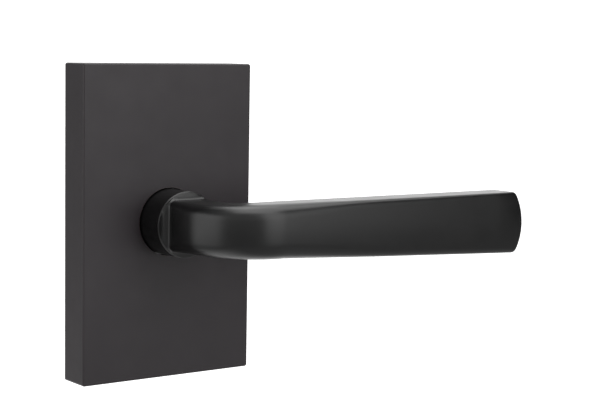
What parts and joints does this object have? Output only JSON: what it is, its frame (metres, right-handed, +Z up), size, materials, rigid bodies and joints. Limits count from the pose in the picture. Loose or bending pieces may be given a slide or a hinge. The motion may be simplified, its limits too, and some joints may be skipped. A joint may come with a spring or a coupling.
{
  "type": "door lever handle",
  "caption": "Black door lever on a rectangular rose: a round neck and a bent flat bar that widens to a rounded end, with a sprung hub, square spindle and threaded posts behind.",
  "frame": {"origin": "on the spindle axis, in the plane of the door's face that the rose sits on", "axes": "+X along the lever's arm at rest, +Y into the door, +Z up; the user stands at -Y"},
  "size_m": [0.1748, 0.1147, 0.1206],
  "materials": {
    "black_lever": "satin",
    "black_cover": "matte",
    "black_screw": "satin",
    "zinc_steel": "satin",
    "cast_zinc": "satin",
    "hard_steel": "satin",
    "spring_steel": "satin",
    "bush_plastic": "satin",
    "washer_plastic": "matte"
  },
  "bodies": {
    "rosette": {"rosette_cover": "black_cover", "mounting_plate": "zinc_steel", "cassette_housing": "cast_zinc", "cover_grub_screw_1": "black_screw", "cover_grub_screw_2": "black_screw", "threaded_post_upper": "zinc_steel", "threaded_post_lower": "zinc_steel", "cassette_screw_1": "zinc_steel", "cassette_screw_2": "zinc_steel", "cassette_screw_3": "zinc_steel", "cassette_screw_4": "zinc_steel", "front_bush": "bush_plastic", "rear_bush": "bush_plastic", "neck_washer": "washer_plastic", "stop_pin_left": "hard_steel", "stop_pin_right": "hard_steel", "return_spring": "spring_steel", "thrust_washer": "bush_plastic"},
    "lever": {"lever_handle": "black_lever", "lever_set_screw": "black_screw", "drive_hub": "zinc_steel", "spindle": "zinc_steel", "spindle_cross_pin": "hard_steel", "hub_circlip": "spring_steel"}
  },
  "joints": [
    {"name": "lever_turn", "type": "hinge", "parent": "rosette", "child": "lever", "pos_m": [0, 0, 0], "axis": [0, 1, 0], "range_deg": [-45, 45], "stiffness_Nm_per_rad": 1.5, "springref_deg": -9.2, "deforming": ["return_spring"]}
  ]
}
